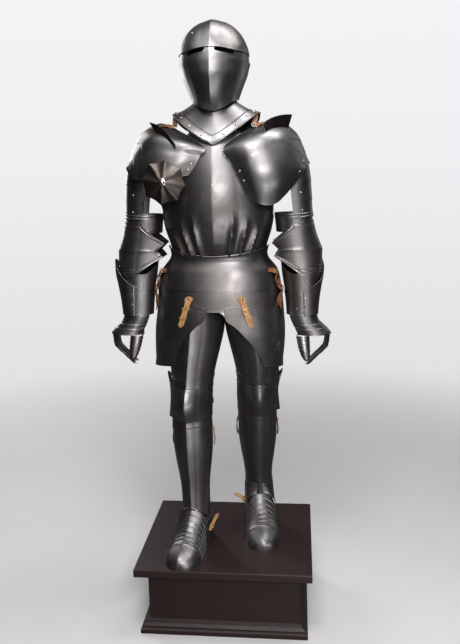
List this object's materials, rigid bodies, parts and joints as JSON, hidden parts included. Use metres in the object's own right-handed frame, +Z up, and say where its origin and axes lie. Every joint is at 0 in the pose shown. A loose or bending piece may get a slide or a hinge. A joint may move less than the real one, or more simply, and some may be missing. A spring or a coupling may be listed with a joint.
{
  "type": "suit of plate armour on a wooden plinth",
  "caption": "Full suit of dark steel plate armour, standing hollow on a square moulded wooden plinth, with a visor that lifts.",
  "frame": {"origin": "middle of the underside of the plinth, on the floor", "axes": "+Z up; the armour faces -Y; +X is the wearer's left"},
  "size_m": [0.7464, 0.525, 1.982],
  "materials": {
    "dark_steel": "dark satin, blued steel",
    "mahogany": "dark red-brown, satin varnish",
    "tan_leather": "plain tan"
  },
  "bodies": {
    "armour": {"backplate": "dark_steel", "besagew": "dark_steel", "breastplate": "dark_steel", "couter_left": "dark_steel", "couter_right": "dark_steel", "cuisse_left": "dark_steel", "cuisse_right": "dark_steel", "culet": "dark_steel", "fauld_plate": "dark_steel", "fingers_left": "dark_steel", "fingers_right": "dark_steel", "gauntlet_cuff_left": "dark_steel", "gauntlet_cuff_right": "dark_steel", "gorget_back": "dark_steel", "gorget_front": "dark_steel", "greave_back_left": "dark_steel", "greave_back_right": "dark_steel", "greave_front_left": "dark_steel", "greave_front_right": "dark_steel", "hand_plate_left": "dark_steel", "hand_plate_right": "dark_steel", "haute_piece_left": "dark_steel", "haute_piece_right": "dark_steel", "heel_left": "dark_steel", "heel_right": "dark_steel", "helm_skull": "dark_steel", "knee_lame_left": "dark_steel", "knee_lame_right": "dark_steel", "pauldron_left": "dark_steel", "pauldron_right": "dark_steel", "plackart": "dark_steel", "plinth_floor_board": "mahogany", "plinth_side_back": "mahogany", "plinth_side_front": "mahogany", "plinth_side_left": "mahogany", "plinth_side_right": "mahogany", "plinth_slab": "mahogany", "poleyn_left": "dark_steel", "poleyn_right": "dark_steel", "sabaton_left": "dark_steel", "sabaton_right": "dark_steel", "shin_lame_left": "dark_steel", "shin_lame_right": "dark_steel", "tasset_left": "dark_steel", "tasset_right": "dark_steel", "tasset_strap_left": "tan_leather", "tasset_strap_right": "tan_leather", "thumb_left": "dark_steel", "thumb_right": "dark_steel", "turner_ring_left": "dark_steel", "turner_ring_right": "dark_steel", "upper_arm_lames_left": "dark_steel", "upper_arm_lames_right": "dark_steel", "vambrace_left": "dark_steel", "vambrace_right": "dark_steel", "visor_pivot_left": "dark_steel", "visor_pivot_right": "dark_steel", "waist_plate": "dark_steel"},
    "visor": {"visor_brow": "dark_steel", "visor_face": "dark_steel"}
  },
  "joints": [
    {"name": "visor_lift", "type": "hinge", "parent": "armour", "child": "visor", "pos_m": [-0.018, 0.008, 1.852], "axis": [-1, 0, 0], "range_deg": [0, 55]}
  ]
}
